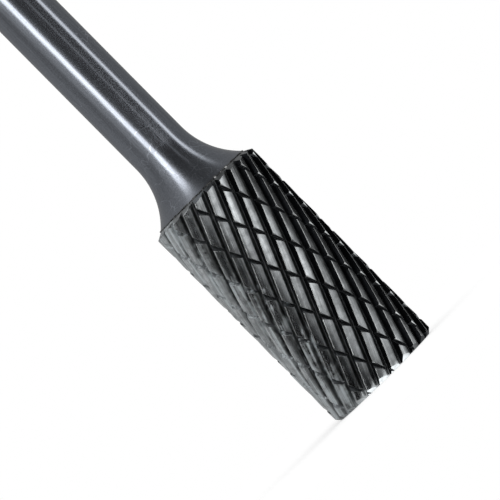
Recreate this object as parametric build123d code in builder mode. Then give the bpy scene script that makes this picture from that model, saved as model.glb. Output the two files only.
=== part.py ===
"""Cylindrical double-cut carbide burr with a 6 mm shank.

Millimetres, +Z up.  The burr stands on the flat end of its cutting head: the origin is
the centre of that end face, and +Z runs along the axis towards the free end of the shank.
Three pieces: a steel shank turned with its flared neck, a thin silver-solder joint, and a
solid tungsten-carbide head with ground right-hand flutes and left-hand chip breakers.
"""

import os
from math import cos, pi, radians, sin, sqrt

from build123d import *

# Driving dimensions
HEAD_DIAMETER = 12.7
HEAD_LENGTH = 25.0
SHANK_DIAMETER = 6.0
SHANK_END_CHAMFER = 0.5
OVERALL_LENGTH = 70.0
BRAZE_THICKNESS = 0.12

# Neck: a concave fillet that carries the shank out to the seat of the head
NECK_FILLET_RADIUS = 8.0
NECK_SEAT_DIAMETER = 11.0

# Bevel from the rear face of the head out to the cutting diameter
REAR_FACE_DIAMETER = 11.2
REAR_BEVEL_LENGTH = 0.4

# 45 degree chamfer that cuts back the corners of the teeth at the tip, and spares the gullets
TIP_CHAMFER = 0.45

# Main flutes, right hand.  The slope is the tangent of the helix angle at the cutting edge.
FLUTE_COUNT = 24
FLUTE_SLOPE = 0.45
FIRST_EDGE_ANGLE = 7.6

# Tooth form in a section across the axis, from one cutting edge back to the next:
# relieved land, back ground in two facets, floor of the gullet, and rake face.
# A share is a part of the tooth pitch, a drop is a depth below the cutting diameter.
LAND_SHARE, LAND_DROP = 0.35, 0.13
BACK_SHARE, BACK_DROP = 0.54, 0.32
ROOT_SHARE, ROOT_DROP = 0.70, 0.61
FLOOR_SHARE, FLOOR_DROP = 0.82, 0.64
RAKE_FOOT_SHARE, RAKE_FOOT_DROP = 0.88, 0.55

# Chip breakers, left hand: a steep wall ends one tooth and a long ramp starts the next.
# The widths are measured along the axis at the cutting diameter.
BREAKER_COUNT = 12
BREAKER_SLOPE = 0.5275
FIRST_BREAKER_ANGLE = 10.15
BREAKER_DEPTH = 0.42
BREAKER_WALL_WIDTH = 0.12
BREAKER_RAMP_WIDTH = 0.75
CUTTER_OVERRUN = 1.0
CUTTER_OVERCUT = 1.4

# Derived sizes
HEAD_RADIUS = HEAD_DIAMETER / 2
SHANK_RADIUS = SHANK_DIAMETER / 2
NECK_SEAT_RADIUS = NECK_SEAT_DIAMETER / 2
REAR_FACE_RADIUS = REAR_FACE_DIAMETER / 2
SEAT_HEIGHT = HEAD_LENGTH + BRAZE_THICKNESS
NECK_CENTRE_RADIUS = SHANK_RADIUS + NECK_FILLET_RADIUS
NECK_LENGTH = sqrt(NECK_FILLET_RADIUS**2 - (NECK_CENTRE_RADIUS - NECK_SEAT_RADIUS) ** 2)
NECK_TOP = SEAT_HEIGHT + NECK_LENGTH
FLUTE_LEAD = 2 * pi * HEAD_RADIUS / FLUTE_SLOPE
BREAKER_LEAD = 2 * pi * HEAD_RADIUS / BREAKER_SLOPE
TOOTH_PITCH = 360 / FLUTE_COUNT


def polar(radius, angle):
    """Point in a section across the axis, from its radius and its angle in degrees."""
    return (radius * cos(radians(angle)), radius * sin(radians(angle)))


def tooth_point(edge_angle, share, drop):
    """Point of the tooth form whose cutting edge stands at edge_angle."""
    return polar(HEAD_RADIUS - drop, edge_angle + share * TOOTH_PITCH)


def breaker_point(axial_offset, height):
    """Point of the chip-breaker groove, from its bottom, in a section across the axis."""
    return polar(HEAD_RADIUS - BREAKER_DEPTH + height, 360 * axial_offset / BREAKER_LEAD)


# --- Shank: cylinder, concave neck and flat seat, turned from one bar ----------------------
with BuildPart() as shank:
    with BuildSketch(Plane.XZ):
        with BuildLine():
            Polyline(
                (SHANK_RADIUS, NECK_TOP),
                (SHANK_RADIUS, OVERALL_LENGTH),
                (0, OVERALL_LENGTH),
                (0, SEAT_HEIGHT),
                (NECK_SEAT_RADIUS, SEAT_HEIGHT),
            )
            RadiusArc((NECK_SEAT_RADIUS, SEAT_HEIGHT), (SHANK_RADIUS, NECK_TOP), NECK_FILLET_RADIUS)
        make_face()
    revolve(axis=Axis.Z)
    free_end = shank.edges().filter_by(GeomType.CIRCLE).sort_by(Axis.Z)[-1]
    chamfer(free_end, SHANK_END_CHAMFER)

# --- Braze: the film of silver solder between the seat and the head ------------------------
with BuildPart() as braze_joint:
    with BuildSketch(Plane.XZ):
        with BuildLine():
            Polyline(
                (0, HEAD_LENGTH),
                (REAR_FACE_RADIUS, HEAD_LENGTH),
                (NECK_SEAT_RADIUS, SEAT_HEIGHT),
                (0, SEAT_HEIGHT),
                close=True,
            )
        make_face()
    revolve(axis=Axis.Z)

# --- Grinding path of one chip breaker: a left-hand groove that overruns both ends ---------
with BuildLine() as breaker_axis:
    Line((0, 0, -CUTTER_OVERRUN), (0, 0, HEAD_LENGTH + CUTTER_OVERRUN))
with BuildLine() as breaker_helix:
    Helix(
        pitch=BREAKER_LEAD,
        height=HEAD_LENGTH + 2 * CUTTER_OVERRUN,
        radius=HEAD_RADIUS,
        center=(0, 0, -CUTTER_OVERRUN),
        lefthand=True,
    )
with BuildPart() as breaker:
    with BuildSketch(Plane.XY.offset(-CUTTER_OVERRUN)):
        with BuildLine():
            Polyline(
                breaker_point(0, 0),
                breaker_point(CUTTER_OVERCUT * BREAKER_WALL_WIDTH, CUTTER_OVERCUT * BREAKER_DEPTH),
                breaker_point(-CUTTER_OVERCUT * BREAKER_RAMP_WIDTH, CUTTER_OVERCUT * BREAKER_DEPTH),
                close=True,
            )
        make_face()
    sweep(path=breaker_axis.edge(), binormal=breaker_helix.edge())

# --- Cutting head: a twisted ring of teeth, chamfered at both ends, crossed by the breakers
with BuildLine() as head_axis:
    Line((0, 0, 0), (0, 0, HEAD_LENGTH))
with BuildLine() as flute_helix:
    Helix(pitch=FLUTE_LEAD, height=HEAD_LENGTH, radius=HEAD_RADIUS)
with BuildPart() as cutting_head:
    with BuildSketch():
        with BuildLine():
            for tooth in range(FLUTE_COUNT):
                edge_angle = FIRST_EDGE_ANGLE + tooth * TOOTH_PITCH
                Polyline(
                    tooth_point(edge_angle, 0, 0),
                    tooth_point(edge_angle, LAND_SHARE, LAND_DROP),
                    tooth_point(edge_angle, BACK_SHARE, BACK_DROP),
                    tooth_point(edge_angle, ROOT_SHARE, ROOT_DROP),
                    tooth_point(edge_angle, FLOOR_SHARE, FLOOR_DROP),
                    tooth_point(edge_angle, RAKE_FOOT_SHARE, RAKE_FOOT_DROP),
                    tooth_point(edge_angle, 1, 0),
                )
        make_face()
    sweep(path=head_axis.edge(), binormal=flute_helix.edge())
    with BuildSketch(Plane.XZ):
        with BuildLine():
            bevel_slope = REAR_BEVEL_LENGTH / (HEAD_RADIUS - REAR_FACE_RADIUS)
            clear_radius = HEAD_RADIUS + CUTTER_OVERRUN
            Polyline(
                (REAR_FACE_RADIUS, HEAD_LENGTH),
                (clear_radius, HEAD_LENGTH - bevel_slope * (clear_radius - REAR_FACE_RADIUS)),
                (clear_radius, HEAD_LENGTH + CUTTER_OVERRUN),
                (REAR_FACE_RADIUS, HEAD_LENGTH + CUTTER_OVERRUN),
                close=True,
            )
        make_face()
        with BuildLine():
            Polyline(
                (HEAD_RADIUS - TIP_CHAMFER, 0),
                (clear_radius, TIP_CHAMFER + CUTTER_OVERRUN),
                (clear_radius, -CUTTER_OVERRUN),
                (HEAD_RADIUS - TIP_CHAMFER, -CUTTER_OVERRUN),
                close=True,
            )
        make_face()
    revolve(axis=Axis.Z, mode=Mode.SUBTRACT)
    start_angle = FIRST_BREAKER_ANGLE + 360 * CUTTER_OVERRUN / BREAKER_LEAD
    with PolarLocations(0, BREAKER_COUNT, start_angle=start_angle):
        add(breaker.part, mode=Mode.SUBTRACT, clean=False)

# --- Labels and files ----------------------------------------------------------------------
shank.part.label = "shank"
braze_joint.part.label = "braze_joint"
cutting_head.part.label = "cutting_head"

os.makedirs("parts", exist_ok=True)
export_step(shank.part, "parts/shank.step")
export_step(braze_joint.part, "parts/braze_joint.step")
export_step(cutting_head.part, "parts/cutting_head.step")
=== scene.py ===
"""Cylindrical double-cut carbide burr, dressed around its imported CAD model."""

from math import atan2, cos, pi, radians, sin, sqrt

import bmesh
import bpy
from mathutils import Matrix, Vector, noise


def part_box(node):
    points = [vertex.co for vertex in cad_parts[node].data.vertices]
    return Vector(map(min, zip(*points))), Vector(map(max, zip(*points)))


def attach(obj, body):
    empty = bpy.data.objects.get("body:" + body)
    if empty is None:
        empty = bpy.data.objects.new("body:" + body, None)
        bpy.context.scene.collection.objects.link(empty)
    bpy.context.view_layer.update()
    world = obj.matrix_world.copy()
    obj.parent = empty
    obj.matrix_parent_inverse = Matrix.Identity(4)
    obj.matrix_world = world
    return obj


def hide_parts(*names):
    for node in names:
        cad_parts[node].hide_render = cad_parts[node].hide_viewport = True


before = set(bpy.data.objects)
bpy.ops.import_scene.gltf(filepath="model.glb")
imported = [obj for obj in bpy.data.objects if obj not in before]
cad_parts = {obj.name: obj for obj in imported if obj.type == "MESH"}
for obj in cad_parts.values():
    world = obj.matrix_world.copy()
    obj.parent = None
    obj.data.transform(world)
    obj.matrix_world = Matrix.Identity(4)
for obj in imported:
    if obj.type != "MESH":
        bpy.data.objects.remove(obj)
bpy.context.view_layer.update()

bl_info = {
    "name": "Carbide Burr",
    "version": (1, 0, 0),
    "blender": (4, 5, 0),
    "location": "3D View > Sidebar > Carbide Burr",
    "description": "Grinds, brazes and lights a cylindrical double-cut carbide burr",
    "category": "Add Mesh",
}

MM = 0.001
# Vertices nearer than this are one vertex, in metres.
TINY = 1e-7
HEAD_LOW, HEAD_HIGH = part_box("cutting_head")
BRAZE_LOW, BRAZE_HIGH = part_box("braze_joint")
SHANK_LOW, SHANK_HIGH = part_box("shank")


def linear(code):
    """sRGB hex value to the linear colour that shaders and colour properties use."""
    channels = (int(code[i:i + 2], 16) / 255 for i in (1, 3, 5))
    return tuple(c / 12.92 if c <= 0.04045 else ((c + 0.055) / 1.055) ** 2.4 for c in channels)


def length(text, default, about):
    """A size that a user can change, in metres."""
    return bpy.props.FloatProperty(
        name=text, description=about, default=default, min=0.0, unit="LENGTH", precision=5)


def colour(text, code, about):
    """A colour that a user can change."""
    return bpy.props.FloatVectorProperty(
        name=text, description=about, default=linear(code), subtype="COLOR", size=3, min=0, max=1)


# --- Sizes and colours that a user would change --------------------------------------------
class BurrHeadSettings(bpy.types.PropertyGroup):
    radius: length("Cutting radius", 6.35 * MM, "Radius of the circle of the cutting edges")
    rear_radius: length("Rear face radius", 5.6 * MM, "Radius of the flat rear face that is brazed")
    rear_bevel: length("Rear bevel", 0.4 * MM, "Length of the bevel behind the teeth")
    tip: length("Tip height", HEAD_LOW.z, "Height of the flat end of the head")
    rear: length("Rear height", HEAD_HIGH.z, "Height of the rear face of the head")
    flute_count: bpy.props.IntProperty(
        name="Flutes", description="Number of right-hand flutes", default=24, min=3)
    flute_slope: bpy.props.FloatProperty(
        name="Flute slope", description="Tangent of the helix angle of the flutes", default=0.45)
    first_edge: bpy.props.FloatProperty(
        name="First edge", description="Angle of the first cutting edge at the tip",
        default=radians(7.6), subtype="ANGLE")
    breaker_count: bpy.props.IntProperty(
        name="Chip breakers", description="Number of left-hand chip breakers", default=12, min=1)
    breaker_slope: bpy.props.FloatProperty(
        name="Breaker slope", description="Tangent of the helix angle of the chip breakers",
        default=0.5275)
    first_breaker: bpy.props.FloatProperty(
        name="First breaker", description="Angle of the first chip breaker at the tip",
        default=radians(10.15), subtype="ANGLE")
    tip_chamfer: length("Tip chamfer", 0.45 * MM, "Chamfer on the corners of the teeth at the tip")
    steps: bpy.props.IntProperty(
        name="Steps", description="Steps of the grinding path along the head", default=100, min=8)


class BurrBrazeSettings(bpy.types.PropertyGroup):
    low: length("Low side", BRAZE_LOW.z, "Height where the solder meets the head")
    high: length("High side", BRAZE_HIGH.z, "Height where the solder meets the neck")
    radius: length("Radius", 5.55 * MM, "Radius of the solder's visible rim")
    ragged: length("Raggedness", 0.07 * MM, "How far the rim of the solder wanders")


class BurrShankSettings(bpy.types.PropertyGroup):
    radius: length("Shank radius", 3.0 * MM, "Radius of the ground shank")
    seat_radius: length("Seat radius", 5.5 * MM, "Radius of the neck where it meets the head")
    neck_fillet: length("Neck fillet", 8.0 * MM, "Radius of the concave flare of the neck")
    seat: length("Seat height", SHANK_LOW.z, "Height of the seat of the neck")
    end: length("End height", SHANK_HIGH.z, "Height of the free end of the shank")
    chamfer: length("End chamfer", 0.5 * MM, "Chamfer at the free end")


class BurrFinishSettings(bpy.types.PropertyGroup):
    carbide: colour("Ground carbide", "#b4b8ba", "Lands of the teeth, ground sintered carbide")
    # Edge colour: lighter strip on the cutting edges and the breakers' top corners, partly wear and
    # partly painted highlight.
    edge: colour("Worn edge", "#dfe3e3", "Worn strip along the cutting edges")
    # Gullet colour: painted shade, darker than the carbide, in the bottom of the flutes and on the
    # cutting edges' rounded corners.
    gullet: colour("Gullet carbide", "#2a2c2f", "Carbide in the bottom of the flutes")
    # Breaker colour: painted shade, darker than the carbide, in the chip breakers.
    breaker: colour("Breaker carbide", "#74777a", "Carbide in the chip breakers")
    # Milky colour on one side of the head: painted reflection.
    painted_sheen: colour("Dried coolant", "#ced5d8", "Milky film of coolant on one side of the head")
    steel: colour("Shank steel", "#a2a7b0", "Hardened steel of the shank")
    solder: colour("Silver solder", "#e6e7e6", "Silver solder of the joint")
    floor: colour("Floor", "#e6e6e6", "Studio floor")


class BurrStageSettings(bpy.types.PropertyGroup):
    camera_distance: length("Camera distance", 0.567, "From the axis of the burr to the camera")
    camera_height: length("Camera height", 0.0185, "Height of the camera over the floor")
    lens: bpy.props.FloatProperty(
        name="Lens", description="Focal length in millimetres", default=425.0)
    roll: bpy.props.FloatProperty(
        name="Roll", description="How far the camera is rolled clockwise",
        default=radians(44.72), subtype="ANGLE")


# --- Small tools ---------------------------------------------------------------------------
def polar(radius, angle, height=0.0):
    """Point from its radius, its angle and its height."""
    return Vector((radius * cos(angle), radius * sin(angle), height))


def helix_lead(radius, slope):
    """Height of one full turn of a helix, from the tangent of its angle."""
    return 2 * pi * radius / slope


def make_piece(name, bm, *materials, sharp=None):
    """Turn a finished bmesh into an object at the origin, with smooth faces and sharp edges."""
    bmesh.ops.recalc_face_normals(bm, faces=bm.faces)
    mesh = bpy.data.meshes.new(name)
    bm.to_mesh(mesh)
    bm.free()
    piece = bpy.data.objects.new(name, mesh)
    bpy.context.scene.collection.objects.link(piece)
    for material in materials:
        mesh.materials.append(material)
    mesh.shade_smooth()
    if sharp is not None:
        mesh.set_sharp_from_angle(angle=sharp)
    return piece


def screw_sweep(bm, ring, lead, height, steps):
    """Sweep a closed ring of edges along Z while it turns once per lead, and close both ends."""
    swept = bmesh.ops.spin(
        bm, geom=ring, cent=(0, 0, 0), axis=(0, 0, 1), dvec=(0, 0, height / steps),
        angle=2 * pi * height / lead, steps=steps, use_merge=False, use_duplicate=False)
    last = [part for part in swept["geom_last"] if isinstance(part, bmesh.types.BMEdge)]
    first = [edge for edge in ring if isinstance(edge, bmesh.types.BMEdge)]
    bmesh.ops.contextual_create(bm, geom=first)
    bmesh.ops.contextual_create(bm, geom=last)


def turn_profile(bm, profile, segments):
    """Turn a profile that starts and ends on the axis, as on a lathe."""
    line = [bm.verts.new((radius, 0, height)) for radius, height in profile]
    edges = [bm.edges.new(pair) for pair in zip(line, line[1:])]
    bmesh.ops.spin(
        bm, geom=line + edges, cent=(0, 0, 0), axis=(0, 0, 1), dvec=(0, 0, 0),
        angle=2 * pi, steps=segments, use_merge=True, use_duplicate=False)
    bmesh.ops.remove_doubles(bm, verts=bm.verts, dist=TINY)


def add_node(tree, kind, inputs=None, **settings):
    """Add a shader node with its settings, and set or link its inputs."""
    node = tree.nodes.new("ShaderNode" + kind)
    for name, value in settings.items():
        setattr(node, name, value)
    for socket, value in (inputs or {}).items():
        if isinstance(value, bpy.types.NodeSocket):
            tree.links.new(value, node.inputs[socket])
        else:
            node.inputs[socket].default_value = value
    return node


def new_material(name):
    """An empty node material and its output node."""
    material = bpy.data.materials.new(name)
    material.use_nodes = True
    tree = material.node_tree
    tree.nodes.clear()
    return material, tree, add_node(tree, "OutputMaterial")


# --- Materials -----------------------------------------------------------------------------
def maths(tree, operation, *values):
    """Result of a Math node."""
    return add_node(tree, "Math", dict(enumerate(values)), operation=operation).outputs[0]


def multiply(tree, first, *others):
    """Product of several values."""
    for other in others:
        first = maths(tree, "MULTIPLY", first, other)
    return first


def remap(tree, value, span, levels, smooth=False):
    """Map a span of a value onto a span of levels, held at both ends."""
    return add_node(
        tree, "MapRange", {0: value, 1: span[0], 2: span[1], 3: levels[0], 4: levels[1]},
        interpolation_type="SMOOTHSTEP" if smooth else "LINEAR").outputs[0]


def texture(tree, place, size, detail, roughness=0.5):
    """Noise whose largest features are about as wide as size."""
    return add_node(tree, "TexNoise", {
        "Vector": place, "Scale": 1 / size, "Detail": detail, "Roughness": roughness}).outputs[0]


def scale_height(tree, place, factor):
    """Place with its height scaled, so that a pattern is drawn out along the burr."""
    return add_node(
        tree, "VectorMath", {0: place, 1: (1, 1, factor)}, operation="MULTIPLY").outputs[0]


def scale_colour(tree, base, level):
    """Colour made lighter or darker."""
    return add_node(
        tree, "VectorMath", {0: base, "Scale": level}, operation="SCALE").outputs[0]


def mix(tree, kind, factor, first, second):
    """Mix of two colours (RGBA) or of two numbers (FLOAT)."""
    return add_node(
        tree, "Mix", {"Factor": factor, "A": first, "B": second}, data_type=kind).outputs["Result"]


def background_rays(tree):
    """1 for the rays that show the white background: camera, glossy and transmission rays."""
    ray = add_node(tree, "LightPath").outputs
    seen = maths(tree, "MAXIMUM", ray["Is Camera Ray"], ray["Is Glossy Ray"])
    return maths(tree, "MAXIMUM", seen, ray["Is Transmission Ray"])


# Side of the head that gets the painted milky reflection, how far streaks and clouds tear its rim,
# and the reach over which it thickens.
SHEEN_SIDE = polar(1.0, radians(-155))
SHEEN_TEAR = 6.0 * MM
SHEEN_RIM = (11.2 * MM, 13.0 * MM)


def paint_side_sheen(tree, finish, place, grain, base, rough):
    """Shader inputs of a carbide whose one side is clouded by a milky lighter film, a painted
    reflection.
    """
    streaks = texture(tree, grain, size=0.55 * MM, detail=3.0, roughness=0.6)
    clouds = texture(tree, place, size=1.4 * MM, detail=3.0, roughness=0.6)
    reach = add_node(
        tree, "VectorMath", {0: place, 1: SHEEN_SIDE}, operation="DOT_PRODUCT").outputs["Value"]
    for tear in (streaks, clouds):
        reach = maths(tree, "MULTIPLY_ADD", tear, SHEEN_TEAR, reach)
    cover = remap(tree, reach, span=SHEEN_RIM, levels=(0.0, 0.85), smooth=True)
    tone = remap(tree, streaks, span=(0.36, 0.62), levels=(0.32, 1.35))
    # Streaked milky colour of the painted reflection.
    film = scale_colour(tree, finish.painted_sheen, tone)
    return {
        "Metallic": remap(tree, cover, span=(0.0, 1.0), levels=(1.0, 0.2)),
        "Base Color": mix(tree, "RGBA", cover, base, film),
        "Roughness": mix(tree, "FLOAT", cover, rough, 0.62)}


# Where the zones of the finish start, behind the cutting edge, as a share of the tooth pitch.
# The edge's rounded corner lies before it, and gets the gullet's painted shade.
ZONE_START = 0.012


def ground_tungsten_carbide(head, finish):
    """Sintered tungsten carbide, ground with a diamond wheel along the flutes."""
    material, tree, output = new_material("ground_tungsten_carbide")
    place = add_node(tree, "TexCoord").outputs["Object"]
    height = add_node(tree, "SeparateXYZ", {0: place}).outputs["Z"]
    # Turning the place back by the helix makes the grinding lines run along the flutes.
    turn = multiply(tree, height, -2 * pi / helix_lead(head.radius, head.flute_slope))
    unwound = add_node(
        tree, "VectorRotate", {"Vector": place, "Angle": turn}, rotation_type="Z_AXIS").outputs[0]

    # Zones of the tooth, by share of the pitch from one cutting edge back to the next.
    spot = add_node(tree, "SeparateXYZ", {0: unwound}).outputs
    angle = maths(tree, "ARCTAN2", spot["Y"], spot["X"])
    per_tooth = head.flute_count / (2 * pi)
    teeth = maths(
        tree, "MULTIPLY_ADD", angle, per_tooth, -ZONE_START - head.first_edge * per_tooth)
    share = maths(tree, "WRAP", teeth, 1.0, 0.0)
    on_edge = remap(tree, share, span=(0.045, 0.06), levels=(1.0, 0.0))
    on_back = remap(tree, share, span=(0.25, 0.60), levels=(0.0, 1.0), smooth=True)
    gullet_shade_mask = remap(tree, share, span=(0.74, 0.85), levels=(0.0, 1.0), smooth=True)

    # Diamond grit leaves lines about 0.02 mm apart. They are drawn 0.14 mm apart to show.
    along = scale_height(tree, unwound, 0.05)
    lines = texture(tree, along, size=0.14 * MM, detail=1.5)
    # Smears of swarf and coolant lie along the flutes, and film lies in patches.
    smears = texture(tree, along, size=0.4 * MM, detail=3.0, roughness=0.7)
    film = texture(tree, place, size=0.9 * MM, detail=4.0, roughness=0.62)
    level = multiply(
        tree,
        remap(tree, film, span=(0.32, 0.68), levels=(0.58, 1.14)),
        remap(tree, lines, span=(0.3, 0.7), levels=(0.86, 1.08)),
        remap(tree, smears, span=(0.35, 0.65), levels=(0.68, 1.2)),
        # The land darkens towards its back: painted shade.
        remap(tree, on_back, span=(0.0, 1.0), levels=(1.0, 0.60)))
    # A lighter strip on the cutting edge: partly wear and partly painted highlight.
    shade = mix(tree, "RGBA", on_edge, (*finish.carbide, 1), (*finish.edge, 1))
    # The gullet's dark colour is painted shade.
    shade = mix(tree, "RGBA", gullet_shade_mask, shade, (*finish.gullet, 1))
    base = scale_colour(tree, shade, level)

    land_rough = remap(tree, lines, span=(0.3, 0.7), levels=(0.16, 0.27))
    rough = mix(tree, "FLOAT", maths(tree, "MAXIMUM", on_back, on_edge), land_rough, 0.40)
    # Wear rounds the sharp corners.
    corner = add_node(tree, "Bevel", {"Radius": 0.06 * MM}, samples=8).outputs[0]
    bump = add_node(tree, "Bump", {
        "Height": lines, "Distance": 0.002 * MM, "Strength": 0.3, "Normal": corner}).outputs[0]
    surface = paint_side_sheen(tree, finish, place, along, base, rough)
    shader = add_node(tree, "BsdfPrincipled", {**surface, "Normal": bump})
    tree.links.new(shader.outputs[0], output.inputs["Surface"])
    return material


def dressed_tungsten_carbide(name, finish, shade, roughness):
    """Sintered tungsten carbide, ground across with a coarser wheel, with film in the cuts."""
    material, tree, output = new_material(name)
    place = add_node(tree, "TexCoord").outputs["Object"]
    film = texture(tree, place, size=0.5 * MM, detail=4.0, roughness=0.6)
    base = scale_colour(tree, shade, remap(tree, film, span=(0.32, 0.68), levels=(0.72, 1.12)))
    shader = add_node(
        tree, "BsdfPrincipled", paint_side_sheen(tree, finish, place, place, base, roughness))
    tree.links.new(shader.outputs[0], output.inputs["Surface"])
    return material


def ground_shank_steel(finish):
    """Hardened tool steel, centreless ground and handled, with fine lines along the shank."""
    material, tree, output = new_material("ground_shank_steel")
    place = add_node(tree, "TexCoord").outputs["Object"]
    # Lines about 0.03 mm apart are drawn 0.15 mm apart to show, over a finer grain and its pits.
    lines = texture(tree, scale_height(tree, place, 0.04), size=0.15 * MM, detail=2.0)
    grain = texture(tree, place, size=0.12 * MM, detail=3.0, roughness=0.7)
    # Wandering handling scratches about 0.05 mm wide lie where a coarse noise crosses its middle.
    wander = texture(tree, place, size=2.2 * MM, detail=2.0)
    off_middle = maths(tree, "ABSOLUTE", maths(tree, "SUBTRACT", wander, 0.5))
    scratch = remap(tree, off_middle, span=(0.002, 0.007), levels=(1.0, 0.0))
    patch = texture(tree, place, size=5.0 * MM, detail=0.0)
    in_patch = remap(tree, patch, span=(0.52, 0.60), levels=(0.0, 0.45))
    level = multiply(
        tree,
        remap(tree, grain, span=(0.66, 0.74), levels=(1.0, 0.45)),
        remap(tree, lines, span=(0.3, 0.7), levels=(0.9, 1.08)),
        remap(tree, grain, span=(0.3, 0.7), levels=(0.84, 1.14)),
        maths(tree, "MULTIPLY_ADD", scratch, in_patch, 1.0))
    bump = add_node(tree, "Bump", {"Height": grain, "Distance": 0.004 * MM, "Strength": 0.5})
    shader = add_node(tree, "BsdfPrincipled", {
        "Metallic": 1.0,
        "Base Color": scale_colour(tree, finish.steel, level),
        "Roughness": remap(tree, grain, span=(0.3, 0.7), levels=(0.12, 0.22)),
        "Normal": bump.outputs[0]})
    tree.links.new(shader.outputs[0], output.inputs["Surface"])
    return material


def silver_solder(finish):
    """Silver brazing alloy that flowed and froze, with a fine wrinkled skin."""
    material, tree, output = new_material("silver_solder")
    place = add_node(tree, "TexCoord").outputs["Object"]
    skin = texture(tree, place, size=0.2 * MM, detail=3.0)
    # Flux burnt brown-black covers the film, and the beads that stand out of it are clean.
    radius = add_node(
        tree, "VectorMath", {0: scale_height(tree, place, 0)}, operation="LENGTH").outputs["Value"]
    level = multiply(
        tree,
        remap(tree, skin, span=(0.38, 0.65), levels=(0.10, 1.0)),
        remap(tree, radius, span=(5.59 * MM, 5.66 * MM), levels=(0.25, 1.0)))
    bump = add_node(tree, "Bump", {"Height": skin, "Distance": 0.03 * MM, "Strength": 0.6})
    shader = add_node(tree, "BsdfPrincipled", {
        "Metallic": 1.0,
        "Base Color": scale_colour(tree, finish.solder, level),
        "Roughness": 0.42,
        "Normal": bump.outputs[0]})
    tree.links.new(shader.outputs[0], output.inputs["Surface"])
    return material


# --- Cutting head --------------------------------------------------------------------------
# Tooth form across the axis, from the cutting edge back to the next one: share of the
# pitch, depth below the cutting circle, and how far and in how many segments each corner is
# rounded. A corner with no segments stays sharp.
TOOTH_FORM = (
    (0.00, 0.00 * MM, 0.03 * MM, 2),  # cutting edge
    (0.065, 0.00 * MM, 0.00 * MM, 0),  # end of the margin on the cutting circle
    (0.40, 0.14 * MM, 0.20 * MM, 4),  # end of the land
    (0.58, 0.26 * MM, 0.13 * MM, 4),  # end of the first back
    (0.72, 0.60 * MM, 0.10 * MM, 3),  # end of the second back
    (0.82, 0.64 * MM, 0.08 * MM, 2),  # floor of the gullet
    (0.88, 0.55 * MM, 0.05 * MM, 2),  # foot of the rake face
)
# Chip breaker: offset along the axis and height over its bottom. From the bottom it goes up
# the steep wall, passes over the cutting circle, and comes down the long ramp.
BREAKER_DEPTH = 0.55 * MM
BREAKER_FORM = (
    (0.000 * MM, 0.00 * MM),
    (0.035 * MM, 0.00 * MM),
    (0.110 * MM, 0.44 * MM),
    (0.500 * MM, 0.66 * MM),
    (0.500 * MM, 0.75 * MM),
    (-1.22 * MM, 0.75 * MM),
    (-0.93 * MM, 0.56 * MM),
    (-0.60 * MM, 0.40 * MM),
    (-0.45 * MM, 0.29 * MM),
)
# The worn corner is the face whose lowest point is between these depths below the cutting circle.
# Its lighter colour is partly wear and partly painted highlight.
WORN_HIGHLIT_LOW, WORN_HIGHLIT_HIGH = 0.13 * MM, 0.10 * MM
# Sweeps run past both ends of the head, and the blank stands proud of the cutting circle.
OVERRUN = 1.0 * MM
PROUD = 0.02 * MM
BLANK_SEGMENTS = 180
# Vertices that the cuts leave nearer than this are one vertex.
CUT_WELD = 2e-7


def tooth_ring(bm, head, height):
    """Closed outline of all teeth across the axis at one height."""
    corners = len(TOOTH_FORM)
    ring = bmesh.ops.create_circle(
        bm, segments=head.flute_count * corners, radius=head.radius, cap_ends=False)["verts"]
    pitch = 2 * pi / head.flute_count
    lead = helix_lead(head.radius, head.flute_slope)
    start = head.first_edge + 2 * pi * (height - head.tip) / lead
    for i, vert in enumerate(ring):
        tooth, corner = divmod(i, corners)
        share, depth = TOOTH_FORM[corner][:2]
        vert.co = polar(head.radius - depth, start + (tooth + share) * pitch, height)
    for corner, (_, _, rounding, segments) in enumerate(TOOTH_FORM):
        if segments == 0:
            continue
        bmesh.ops.bevel(
            bm, geom=[ring[i] for i in range(corner, len(ring), corners)], affect="VERTICES",
            offset=rounding, segments=segments, profile=0.5, material=-1, clamp_overlap=False)
    return list(bm.verts) + list(bm.edges)


def turned_blank(head):
    """Blank turned to its length, with the tip chamfer and the rear bevel."""
    blank = bmesh.new()
    proud = head.radius + PROUD
    turn_profile(blank, (
        (0, head.tip), (head.radius - head.tip_chamfer, head.tip),
        (proud, head.tip + head.tip_chamfer + PROUD),
        (proud, head.rear - head.rear_bevel - PROUD),
        (head.rear_radius, head.rear), (0, head.rear)), BLANK_SEGMENTS)
    return blank


def breaker_grooves(head):
    """All chip breakers, each a groove swept along a left-hand helix."""
    grooves = bmesh.new()
    lead = -helix_lead(head.radius, head.breaker_slope)
    start = head.first_breaker - 2 * pi * OVERRUN / lead
    verts = []
    for offset, height in BREAKER_FORM:
        radius, angle = head.radius - BREAKER_DEPTH + height, start - 2 * pi * offset / lead
        verts.append(grooves.verts.new(polar(radius, angle, head.tip - OVERRUN)))
    edges = [grooves.edges.new((verts[i - 1], verts[i])) for i in range(len(verts))]
    screw_sweep(grooves, verts + edges, lead, head.rear - head.tip + 2 * OVERRUN, head.steps)
    bmesh.ops.spin(
        grooves, geom=list(grooves.verts) + list(grooves.edges) + list(grooves.faces),
        cent=(0, 0, 0), axis=(0, 0, 1), angle=2 * pi * (1 - 1 / head.breaker_count),
        steps=head.breaker_count - 1, use_duplicate=True)
    # The breakers' top corners get the worn material, whose lighter colour is partly wear and
    # partly painted highlight.
    for face in grooves.faces:
        lowest = min(vert.co.xy.length for vert in face.verts)
        if head.radius - WORN_HIGHLIT_LOW < lowest < head.radius - WORN_HIGHLIT_HIGH:
            face.material_index = 1
    return grooves


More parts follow.
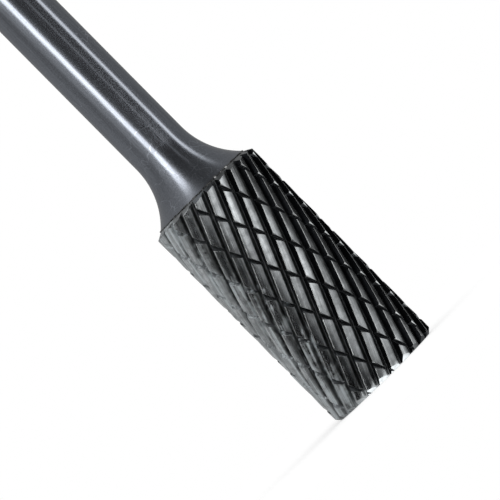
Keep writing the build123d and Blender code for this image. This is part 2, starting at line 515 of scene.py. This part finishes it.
def cut_piece(context, piece, cuts):
    """Cut a piece with tools, each a pair of object and operation, and remove the tools."""
    for tool, operation in cuts:
        cut = piece.modifiers.new(tool.name, "BOOLEAN")
        cut.object = tool
        cut.operation = operation
        cut.solver = "EXACT"
        cut.material_mode = "TRANSFER"
    evaluated = piece.evaluated_get(context.evaluated_depsgraph_get())
    mesh = bpy.data.meshes.new_from_object(evaluated)
    piece.modifiers.clear()
    piece.data = mesh
    for tool, _ in cuts:
        bpy.data.objects.remove(tool)
    bm = bmesh.new()
    bm.from_mesh(mesh)
    bmesh.ops.remove_doubles(bm, verts=bm.verts, dist=CUT_WELD)
    bmesh.ops.dissolve_degenerate(bm, edges=bm.edges, dist=TINY)
    # A vertex on only two edges makes doubled slivers when the faces are cut to triangles.
    bmesh.ops.dissolve_verts(bm, verts=[v for v in bm.verts if len(v.link_edges) == 2])
    bm.to_mesh(mesh)
    bm.free()
    mesh.shade_smooth()
    mesh.set_sharp_from_angle(angle=radians(28))


class BURR_OT_cutting_head(bpy.types.Operator):
    """Grind the cutting head: flutes, rear bevel and chip breakers in solid carbide"""

    bl_idname = "burr.cutting_head"
    bl_label = "Cutting Head"
    bl_options = {"REGISTER", "UNDO"}

    def execute(self, context):
        head = context.scene.burr_head
        finish = context.scene.burr_finish
        land = ground_tungsten_carbide(head, finish)
        turned = dressed_tungsten_carbide(
            "turned_tungsten_carbide", finish, finish.carbide, roughness=0.32)
        # The breakers' darker colour is painted shade.
        notch_shade = dressed_tungsten_carbide(
            "breaker_painted_shade_carbide", finish, finish.breaker, roughness=0.46)
        # The lighter worn colour is partly wear and partly painted highlight.
        worn_highlit = dressed_tungsten_carbide(
            "worn_highlit_tungsten_carbide", finish, finish.edge, roughness=0.36)

        teeth = bmesh.new()
        ring = tooth_ring(teeth, head, head.tip - OVERRUN)
        screw_sweep(
            teeth, ring, helix_lead(head.radius, head.flute_slope),
            head.rear - head.tip + 2 * OVERRUN, head.steps)
        piece = make_piece("cutting_head_piece", teeth, land)
        cut_piece(context, piece, (
            (make_piece("turned_blank", turned_blank(head), turned), "INTERSECT"),
            (make_piece("breaker_grooves", breaker_grooves(head), notch_shade, worn_highlit), "DIFFERENCE")))
        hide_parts("cutting_head")
        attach(piece, "root")
        return {"FINISHED"}


# --- Braze joint ---------------------------------------------------------------------------
# Section of the rim: how deep it starts, how far it bulges, and how far it spills over.
RIM_DEPTH = 0.3 * MM
RIM_BULGE = 0.03 * MM
RIM_SPILL = 0.02 * MM
RIM_SEGMENTS = 240
# The outside of the rim wanders in waves with ripples on them, less sideways than up and down.
RAGGED_DEPTH = 0.1 * MM
WAVE_SIZE = 0.5 * MM
RIPPLE_SIZE = 0.17 * MM
SIDEWAYS = 0.25
# Beads of solder on the rim: bearing from the front, to the left, and half width.
BEADS = (
    (-35.5, 0.18 * MM), (-19, 0.21 * MM), (-27, 0.09 * MM), (4, 0.06 * MM), (17, 0.08 * MM),
    (41, 0.07 * MM), (66, 0.10 * MM), (97, 0.14 * MM), (128, 0.08 * MM), (163, 0.12 * MM),
    (201, 0.09 * MM), (236, 0.15 * MM), (262, 0.08 * MM), (289, 0.11 * MM))
BEAD_REACH = 0.05 * MM


class BURR_OT_braze(bpy.types.Operator):
    """Flow the silver solder between the head and the neck, with a ragged rim and beads"""

    bl_idname = "burr.braze"
    bl_label = "Braze Joint"
    bl_options = {"REGISTER", "UNDO"}

    def execute(self, context):
        braze = context.scene.burr_braze
        middle = (braze.low + braze.high) / 2
        bm = bmesh.new()
        turn_profile(bm, (
            (0, braze.low), (braze.radius - RIM_DEPTH, braze.low),
            (braze.radius, braze.low - RIM_SPILL), (braze.radius + RIM_BULGE, middle),
            (braze.radius - RIM_SPILL, braze.high + RIM_SPILL),
            (braze.radius - RIM_DEPTH, braze.high), (0, braze.high)), RIM_SEGMENTS)
        for vert in bm.verts:
            if vert.co.xy.length > braze.radius - RAGGED_DEPTH:
                ripple = noise.noise(vert.co / RIPPLE_SIZE)
                wander = noise.noise(vert.co / WAVE_SIZE) + 0.5 * ripple
                vert.co.z += wander * braze.ragged
                vert.co.xy *= 1 + SIDEWAYS * wander * braze.ragged / braze.radius
        for i, (bearing, size) in enumerate(BEADS):
            angle = radians(-90 - bearing)
            across = size * (1 + 0.3 * noise.noise(Vector((i, 0.5, 0.5))))
            bmesh.ops.create_icosphere(
                bm, subdivisions=2, radius=1.0,
                matrix=Matrix.Translation(polar(braze.radius + BEAD_REACH, angle, middle))
                @ Matrix.Rotation(angle, 4, "Z")
                @ Matrix.Diagonal((0.7 * size, across, 0.8 * size, 1)))
        solder = silver_solder(context.scene.burr_finish)
        rim = make_piece("braze_rim", bm, solder, sharp=radians(60))
        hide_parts("braze_joint")
        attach(rim, "root")
        return {"FINISHED"}


# --- Shank ---------------------------------------------------------------------------------
SHANK_SEGMENTS = 144
NECK_STEPS = 24


class BURR_OT_shank(bpy.types.Operator):
    """Turn the steel shank with its flared neck and chamfered end"""

    bl_idname = "burr.shank"
    bl_label = "Shank"
    bl_options = {"REGISTER", "UNDO"}

    def execute(self, context):
        shank = context.scene.burr_shank
        fillet = shank.neck_fillet
        centre = shank.radius + fillet
        rise = sqrt(fillet ** 2 - (centre - shank.seat_radius) ** 2)
        neck_top = shank.seat + rise
        seat_angle = atan2(-rise, shank.seat_radius - centre) + 2 * pi
        neck = []
        for i in range(NECK_STEPS + 1):
            angle = seat_angle + (pi - seat_angle) * i / NECK_STEPS
            neck.append((centre + fillet * cos(angle), neck_top + fillet * sin(angle)))
        bm = bmesh.new()
        turn_profile(bm, (
            (0, shank.seat), *neck, (shank.radius, shank.end - shank.chamfer),
            (shank.radius - shank.chamfer, shank.end), (0, shank.end)), SHANK_SEGMENTS)
        steel = ground_shank_steel(context.scene.burr_finish)
        piece = make_piece("shank_piece", bm, steel, sharp=radians(25))
        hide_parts("shank")
        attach(piece, "root")
        return {"FINISHED"}


# --- Stage ---------------------------------------------------------------------------------
CAMERA_TARGET = Vector((-0.67 * MM, 0, 17.8 * MM))
FLOOR_RADIUS = 4.0
# The floor turns from paper to plain white between these distances from the origin.
FLOOR_WHITENS = (0.02, 0.08)
PAPER_GLOW = 0.55
WORLD_FILL = 0.35

SOFTBOX_SIZE = 0.5
SOFTBOX_PLACE = (0.09, -0.11, 0.80)
SOFTBOX_AIM = Vector((0, 0, 0.012))
SOFTBOX_WATTS = 2.5 * pi * SOFTBOX_SIZE ** 2

TENT_RADIUS = 0.3
TENT_HEIGHT = 0.8
TENT_MIDDLE = 0.42
CARD_HEIGHT = 0.02 * MM
CARD_RIM = 0.02
STAGE_SEGMENTS = 96

# Brightness of the tent and the card, which only reflections see. The tables are laid out for
# the front view: each gives levels by bearing from the front, in degrees towards the left,
# which is twice the bearing of the mirror that reflects the spot to the front. The tent's
# tables lie one over the other, from the foot to the roof, and the card's one around the
# other, from the burr outwards.
WALL_FOOT = (
    (-180, 0.15), (-78, 0.20), (-64, 0.08), (-4, 0.06), (14, 0.10), (34, 0.10), (56, 0.25),
    (84, 0.25), (180, 0.20))
LEVEL_WALL = (
    (-180, 0.23), (-78, 0.20), (-75, 1.7), (-67, 1.7), (-64, 0.08), (-37, 0.07), (-35, 0.35),
    (-33, 0.35), (-31, 0.06), (-4, 0.06), (8, 0.18), (14, 0.5), (18, 3.0), (30, 3.0),
    (34, 0.55), (56, 0.36), (66, 0.20), (84, 0.21), (95, 0.27), (180, 0.26))
UPPER_WALL = (
    (-180, 0.24), (-78, 0.22), (-75, 0.7), (-67, 0.7), (-64, 0.12), (-37, 0.09), (-4, 0.08),
    (8, 0.25), (16, 2.0), (28, 2.0), (34, 0.45), (56, 0.30), (84, 0.24), (180, 0.26))
ROOF = (
    (-180, 0.24), (-70, 0.22), (-50, 0.12), (-20, 0.08), (-4, 0.16), (12, 0.36), (20, 0.65),
    (28, 0.60), (40, 0.34), (60, 0.27), (180, 0.26))
CARD_FOOT = (
    (-180, 0.10), (-48, 0.12), (-36, 0.5), (-27, 2.3), (20, 2.3), (31, 0.9), (44, 0.35),
    (180, 0.3))
CARD_NEAR = (
    (-180, 0.03), (-130, 0.06), (-115, 0.08), (-95, 0.32), (-75, 0.70), (-55, 0.92),
    (-35, 0.80), (-15, 0.38), (5, 0.05), (25, 0.00), (45, 0.06), (65, 0.33), (85, 0.60),
    (108, 0.60), (118, 0.75), (150, 0.65), (175, 0.3))
CARD_FAR = (
    (-180, 0.03), (-130, 0.05), (-115, 0.07), (-95, 0.24), (-75, 0.82), (-55, 1.45),
    (-35, 2.00), (-15, 1.15), (5, 0.24), (25, 0.01), (45, 0.06), (65, 0.42), (85, 0.95),
    (108, 0.80), (118, 0.75), (150, 0.60), (175, 0.3))


def tilts(low, high):
    """Span of mirror tilts, from degrees to sines."""
    return (sin(radians(low)), sin(radians(high)))


def level_ramp(tree, share, levels, top):
    """Grey of a table of levels at one share of the way round, as a part of the top level."""
    ramp = add_node(tree, "ValToRGB", {0: share})
    elements = ramp.color_ramp.elements
    while len(elements) < len(levels):
        elements.new(0.5)
    for element, (bearing, level) in zip(elements, levels):
        element.position = (bearing + 180) / 360
        element.color = (level / top, level / top, level / top, 1)
    return ramp.outputs[0]


def bearing_light(name, measure, first, *others):
    """Cloth or card whose brightness changes with its bearing.

    The first table of levels gives way to each of the others, over a span of the mirror's
    tilt or of the distance from the origin.
    """
    material, tree, output = new_material(name)
    place = add_node(tree, "TexCoord").outputs["Object"]
    # The mirror that shows this spot from the front: its bearing is half that of the spot.
    spot = add_node(tree, "VectorMath", {0: place}, operation="NORMALIZE")
    mirror = add_node(tree, "VectorMath", {0: spot.outputs[0], 1: (0, -1, 0)}, operation="ADD")
    mirror = add_node(tree, "VectorMath", {0: mirror.outputs[0]}, operation="NORMALIZE")
    axes = add_node(tree, "SeparateXYZ", {0: mirror.outputs[0]}).outputs
    bearing = maths(
        tree, "ARCTAN2", multiply(tree, axes["X"], -1.0), multiply(tree, axes["Y"], -1.0))
    share = remap(tree, bearing, span=(-pi / 2, pi / 2), levels=(0.0, 1.0))
    if measure == "tilt":
        reach = axes["Z"]
    else:
        reach = add_node(tree, "VectorMath", {0: place}, operation="LENGTH").outputs["Value"]
    tables = (first, *(table for _, table in others))
    top = max(level for table in tables for _, level in table)
    light = level_ramp(tree, share, first, top)
    for span, table in others:
        into = remap(tree, reach, span, levels=(0.0, 1.0), smooth=True)
        light = mix(tree, "RGBA", into, light, level_ramp(tree, share, table, top))
    glow = add_node(tree, "Emission", {"Color": light, "Strength": top})
    tree.links.new(glow.outputs[0], output.inputs["Surface"])
    return material


class BURR_OT_stage(bpy.types.Operator):
    """Set the pale floor, the light tent, the lamp, the world and the camera"""

    bl_idname = "burr.stage"
    bl_label = "Stage"
    bl_options = {"REGISTER", "UNDO"}

    def execute(self, context):
        scene = context.scene
        self.floor(scene.burr_finish)
        self.tent()
        self.lamp(scene)
        self.world(scene)
        self.camera(scene)
        scene.view_settings.view_transform = "Standard"
        return {"FINISHED"}

    def camera(self, scene):
        stage = scene.burr_stage
        data = bpy.data.cameras.new("camera")
        data.lens = stage.lens
        data.dof.use_dof = False
        camera = bpy.data.objects.new("camera", data)
        scene.collection.objects.link(camera)
        place = Vector((CAMERA_TARGET.x, -stage.camera_distance, stage.camera_height))
        look = (CAMERA_TARGET - place).to_track_quat("-Z", "Y").to_matrix().to_4x4()
        roll = Matrix.Rotation(-stage.roll, 4, "Z")
        camera.matrix_world = Matrix.Translation(place) @ look @ roll
        scene.camera = camera

    def floor(self, finish):
        """Paper that keeps the burr's soft shadow beside it, and plain white farther away."""
        material, tree, output = new_material("studio_floor_card")
        place = add_node(tree, "TexCoord").outputs["Object"]
        distance = add_node(tree, "VectorMath", {0: place}, operation="LENGTH").outputs["Value"]
        away = remap(tree, distance, span=FLOOR_WHITENS, levels=(0.0, 1.0), smooth=True)
        paper = add_node(tree, "BsdfDiffuse", {"Color": (*finish.floor, 1)}).outputs[0]
        glow = add_node(tree, "Emission", {"Strength": PAPER_GLOW}).outputs[0]
        white = add_node(tree, "Emission", {"Strength": 1.0}).outputs[0]
        near = add_node(tree, "AddShader", {0: paper, 1: glow}).outputs[0]
        shown = add_node(tree, "MixShader", {0: away, 1: near, 2: white}).outputs[0]
        surface = add_node(tree, "MixShader", {0: background_rays(tree), 1: paper, 2: shown})
        tree.links.new(surface.outputs[0], output.inputs["Surface"])
        bm = bmesh.new()
        bmesh.ops.create_circle(bm, cap_ends=True, segments=64, radius=FLOOR_RADIUS)
        floor = make_piece("studio_floor", bm, material)

    def tent(self):
        """Light tent around the burr and a card on the floor, which only reflections see."""
        bm = bmesh.new()
        bmesh.ops.create_cone(
            bm, cap_ends=True, segments=STAGE_SEGMENTS, radius1=TENT_RADIUS,
            radius2=TENT_RADIUS, depth=TENT_HEIGHT,
            matrix=Matrix.Translation((0, 0, TENT_MIDDLE)))
        # The tent has a roof and no base.
        ends = [face for face in bm.faces if len(face.verts) > 4]
        base = min(ends, key=lambda face: face.calc_center_median().z)
        bmesh.ops.delete(bm, geom=[base], context="FACES")
        tent = make_piece("light_tent", bm, bearing_light(
            "tent_cloth", "tilt", WALL_FOOT, (tilts(2.2, 3.3), LEVEL_WALL),
            (tilts(12, 34), UPPER_WALL), (tilts(28, 46), ROOF)))

        bm = bmesh.new()
        bmesh.ops.create_circle(
            bm, cap_ends=True, segments=STAGE_SEGMENTS, radius=TENT_RADIUS,
            matrix=Matrix.Translation((0, 0, CARD_HEIGHT)))
        rim = bmesh.ops.extrude_edge_only(bm, edges=list(bm.edges))["geom"]
        bmesh.ops.translate(
            bm, vec=(0, 0, CARD_RIM),
            verts=[part for part in rim if isinstance(part, bmesh.types.BMVert)])
        card = make_piece("floor_reflector", bm, bearing_light(
            "reflector_card", "distance", CARD_FOOT, ((7.0 * MM, 7.3 * MM), CARD_NEAR),
            ((0.03, 0.15), CARD_FAR)))
        for piece in (tent, card):
            piece.visible_camera = False
            piece.visible_diffuse = False
            piece.visible_shadow = False
            piece.visible_transmission = False

    def lamp(self, scene):
        """Overhead softbox, a little to the right, for the soft shadow on the floor."""
        data = bpy.data.lights.new("overhead_softbox", "AREA")
        data.shape = "SQUARE"
        data.size = SOFTBOX_SIZE
        data.energy = SOFTBOX_WATTS
        lamp = bpy.data.objects.new("overhead_softbox", data)
        lamp.location = SOFTBOX_PLACE
        lamp.rotation_euler = (SOFTBOX_AIM - lamp.location).to_track_quat("-Z", "Y").to_euler()
        lamp.visible_glossy = False
        lamp.visible_camera = False
        scene.collection.objects.link(lamp)

    def world(self, scene):
        """White to what shows the background, and dimmer as a fill light."""
        world = bpy.data.worlds.new("studio")
        world.use_nodes = True
        tree = world.node_tree
        tree.nodes.clear()
        level = remap(tree, background_rays(tree), span=(0.0, 1.0), levels=(WORLD_FILL, 1.0))
        sky = add_node(tree, "Background", {"Color": (1, 1, 1, 1), "Strength": level})
        output = add_node(tree, "OutputWorld")
        tree.links.new(sky.outputs[0], output.inputs["Surface"])
        scene.world = world


# --- Panel and registration ----------------------------------------------------------------
class BURR_PT_panel(bpy.types.Panel):
    """Sidebar panel that lists the pieces of the burr and their sizes"""

    bl_idname = "BURR_PT_panel"
    bl_label = "Carbide Burr"
    bl_space_type = "VIEW_3D"
    bl_region_type = "UI"
    bl_category = "Carbide Burr"

    def draw(self, context):
        for group, operator in PANEL_ROWS:
            box = self.layout.box()
            settings = getattr(context.scene, group)
            for name in settings.__annotations__:
                box.prop(settings, name)
            if operator:
                box.operator(operator)


SETTINGS = {
    "burr_head": BurrHeadSettings,
    "burr_braze": BurrBrazeSettings,
    "burr_shank": BurrShankSettings,
    "burr_finish": BurrFinishSettings,
    "burr_stage": BurrStageSettings,
}
PANEL_ROWS = (
    ("burr_finish", ""),
    ("burr_head", "burr.cutting_head"),
    ("burr_braze", "burr.braze"),
    ("burr_shank", "burr.shank"),
    ("burr_stage", "burr.stage"),
)
OPERATORS = (BURR_OT_cutting_head, BURR_OT_braze, BURR_OT_shank, BURR_OT_stage)


def register():
    for cls in (*SETTINGS.values(), *OPERATORS, BURR_PT_panel):
        bpy.utils.register_class(cls)
    for name, group in SETTINGS.items():
        setattr(bpy.types.Scene, name, bpy.props.PointerProperty(type=group))


def unregister():
    for name in SETTINGS:
        delattr(bpy.types.Scene, name)
    for cls in reversed((*SETTINGS.values(), *OPERATORS, BURR_PT_panel)):
        bpy.utils.unregister_class(cls)


def main():
    register()
    bpy.ops.burr.cutting_head()
    bpy.ops.burr.braze()
    bpy.ops.burr.shank()
    bpy.ops.burr.stage()


if __name__ == "__main__":
    main()
